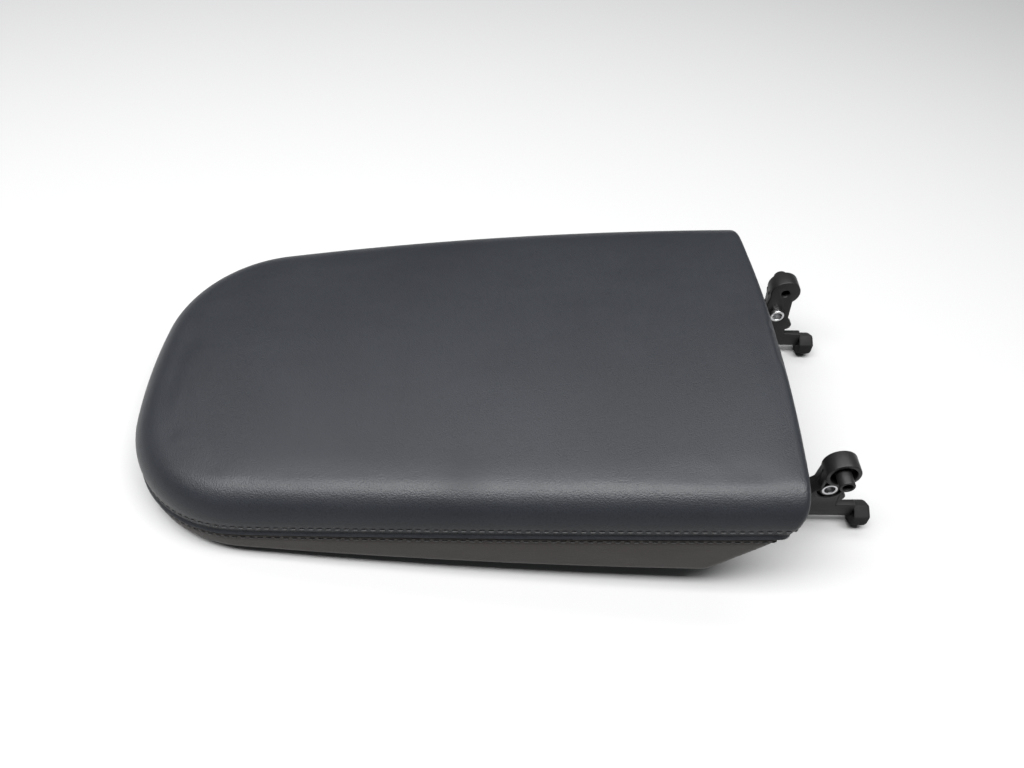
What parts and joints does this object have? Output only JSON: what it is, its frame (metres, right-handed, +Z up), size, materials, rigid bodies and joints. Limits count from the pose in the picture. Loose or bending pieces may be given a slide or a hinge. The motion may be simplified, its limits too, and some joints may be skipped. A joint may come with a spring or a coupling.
{
  "type": "centre console armrest",
  "caption": "Padded, sewn armrest lid of a car's centre console, with rounded front, undercut rear, moulded hinge arms with rubber stops, and a sprung catch under its front edge.",
  "frame": {"origin": "middle of the hinge axis, halfway between the two knuckles", "axes": "+X to the rear of the car, +Y along the hinge axis to the car's right, +Z up with the lid's rim level"},
  "size_m": [0.3793, 0.204, 0.0736],
  "materials": {
    "cover_leather": "fine-grained anthracite leatherette, satin",
    "foam": "moulded polyurethane foam",
    "shell_plastic": "unpainted moulding",
    "liner_plastic": "fine-grained moulding",
    "arm_plastic": "satin glass-filled nylon",
    "plated_steel": "zinc plated",
    "stop_rubber": "moulded rubber"
  },
  "bodies": {
    "lid": {"top_cover": "cover_leather", "side_band": "cover_leather", "foam_pad": "foam", "lid_shell": "shell_plastic", "liner_panel": "liner_plastic", "hinge_arm_left": "arm_plastic", "hinge_arm_right": "arm_plastic", "link_bush_left": "plated_steel", "link_bush_right": "plated_steel", "stop_bumper_left": "stop_rubber", "stop_bumper_right": "stop_rubber", "arm_screws_left": "plated_steel", "arm_screws_right": "plated_steel", "liner_screws": "plated_steel", "latch_pin": "plated_steel", "latch_spring": "plated_steel", "front_buffer_left": "stop_rubber", "front_buffer_right": "stop_rubber"},
    "latch": {"latch_lever": "arm_plastic"}
  },
  "joints": [
    {"name": "latch_release", "type": "hinge", "parent": "lid", "child": "latch", "pos_m": [-0.3035, 0, -0.023], "axis": [0, 1, 0], "range_deg": [0, 14], "stiffness_Nm_per_rad": 0.06, "springref_deg": -17.19, "deforming": ["latch_spring"]}
  ]
}
